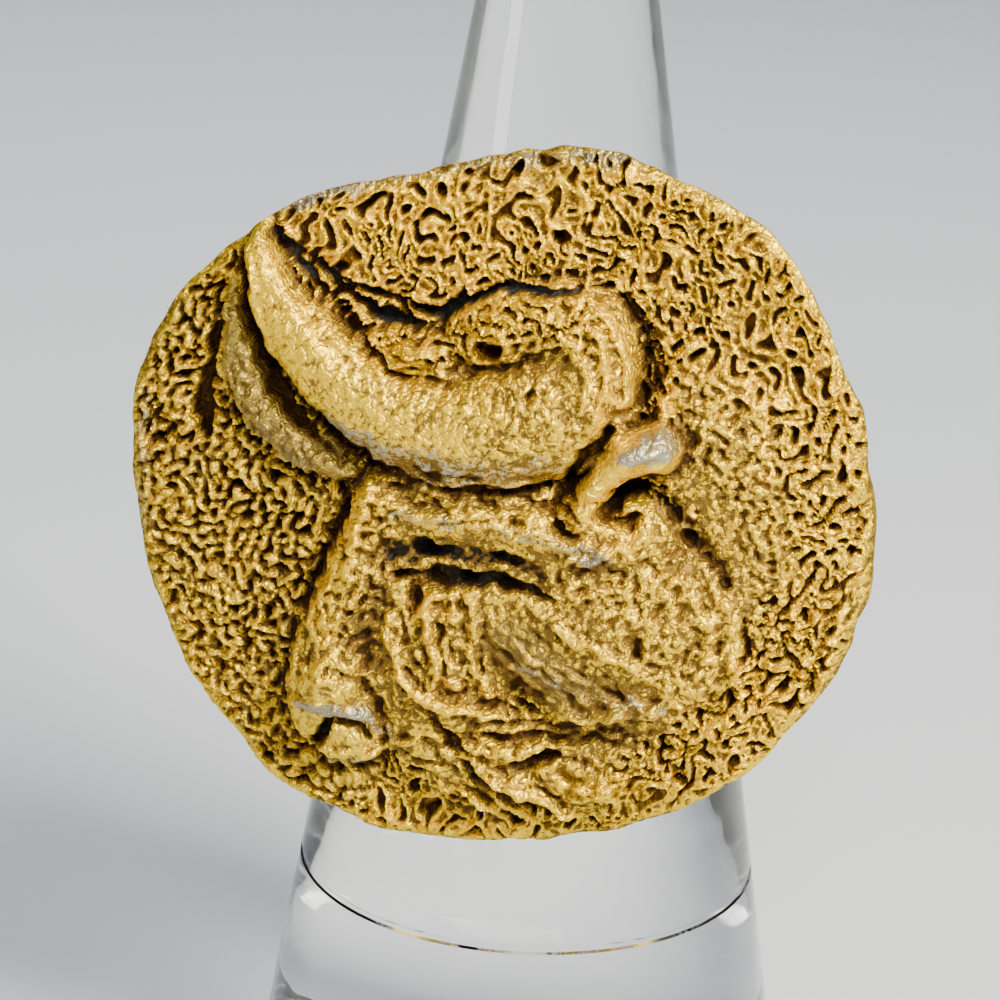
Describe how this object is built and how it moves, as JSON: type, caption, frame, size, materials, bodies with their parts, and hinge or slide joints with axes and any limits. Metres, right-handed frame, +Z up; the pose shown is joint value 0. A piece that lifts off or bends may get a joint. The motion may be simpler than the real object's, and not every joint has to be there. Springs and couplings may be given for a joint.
{
  "type": "adjustable ring on a ring display cone",
  "caption": "Open adjustable ring with a large round cast medallion showing a bull's head in profile, standing on a clear acrylic ring cone.",
  "frame": {"origin": "middle of the ring cone's foot, on the floor", "axes": "+Z up the cone's axis, -Y out of the medallion's face, +X to the right of the face as seen from the front"},
  "size_m": [0.0386, 0.0312, 0.074],
  "materials": {
    "antique_gold": "antiqued cast gold plate, dark patina in the hollows, worn to silver grey on the edges",
    "gold_band": "satin gold plate",
    "clear_acrylic": "polished clear acrylic"
  },
  "bodies": {
    "root": {"medallion": "antique_gold", "band": "gold_band", "ring_cone": "clear_acrylic"}
  },
  "joints": []
}
